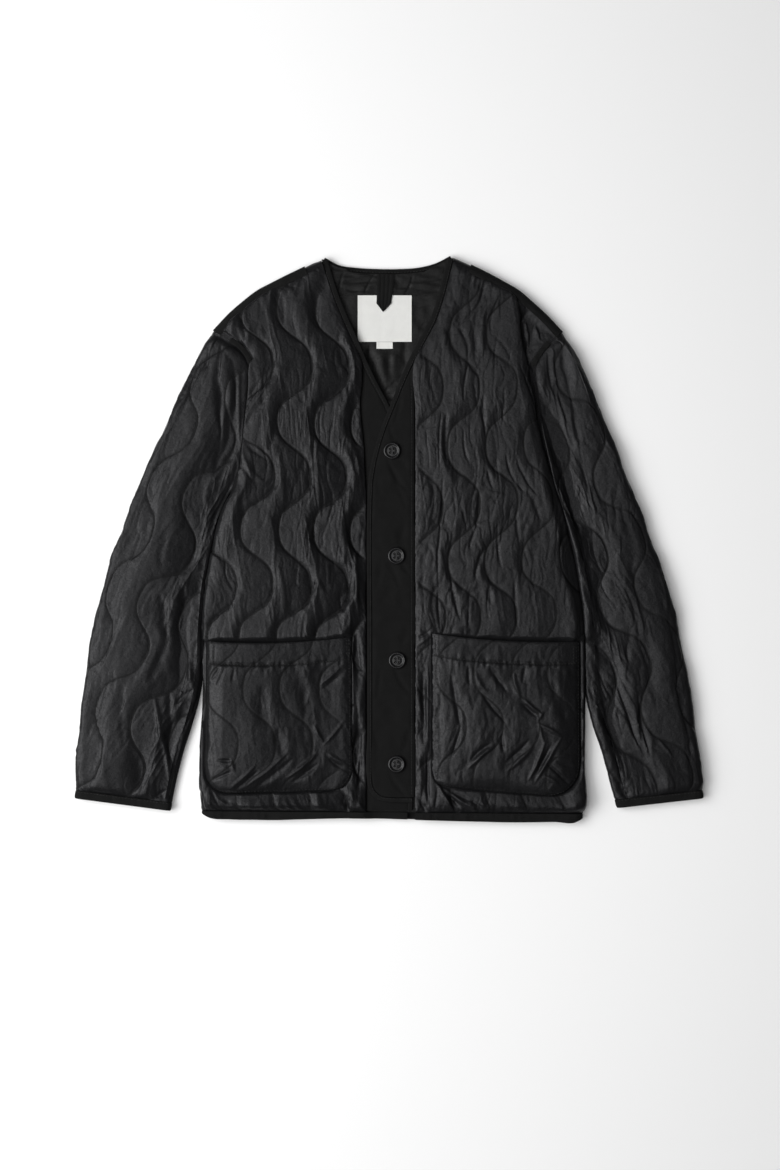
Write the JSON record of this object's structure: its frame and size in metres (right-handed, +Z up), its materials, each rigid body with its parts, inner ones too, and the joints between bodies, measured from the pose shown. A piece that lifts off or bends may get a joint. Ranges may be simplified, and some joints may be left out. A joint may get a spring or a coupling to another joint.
{
  "type": "quilted liner jacket",
  "caption": "Wave-quilted nylon liner jacket laid flat, with a bound V neck, a buttoned front stand, patch pockets, long sleeves and bound hem and cuffs.",
  "frame": {"origin": "centre of the laid jacket's box at the surface that it lies on", "axes": "+X towards the wearer's left, +Y towards the neck, +Z up from the surface, out of the jacket's front"},
  "size_m": [0.7556, 0.68, 0.019],
  "materials": {
    "shell_nylon": "glossy black nylon, quilted in waves",
    "stand_cloth": "matte black plain weave",
    "trim_tape": "matte black woven binding tape",
    "lining_cloth": "dark grey-black plain cloth",
    "label_cloth": "white woven satin, bare",
    "button_plastic": "polished black resin"
  },
  "bodies": {
    "root": {"back": "shell_nylon", "right_front": "shell_nylon", "left_front": "shell_nylon", "right_sleeve": "shell_nylon", "left_sleeve": "shell_nylon", "right_pocket": "shell_nylon", "left_pocket": "shell_nylon", "right_stand": "stand_cloth", "left_stand": "stand_cloth", "right_front_binding": "trim_tape", "left_front_binding": "trim_tape", "back_neck_binding": "trim_tape", "back_hem_binding": "trim_tape", "right_hem_binding": "trim_tape", "left_hem_binding": "trim_tape", "right_cuff_binding": "trim_tape", "left_cuff_binding": "trim_tape", "right_shoulder_tape": "trim_tape", "left_shoulder_tape": "trim_tape", "right_armhole_tape": "trim_tape", "left_armhole_tape": "trim_tape", "hanger_loop": "trim_tape", "back_neck_facing": "lining_cloth", "label": "label_cloth", "size_tag": "label_cloth", "button_1": "button_plastic", "button_2": "button_plastic", "button_3": "button_plastic", "button_4": "button_plastic"}
  },
  "joints": []
}
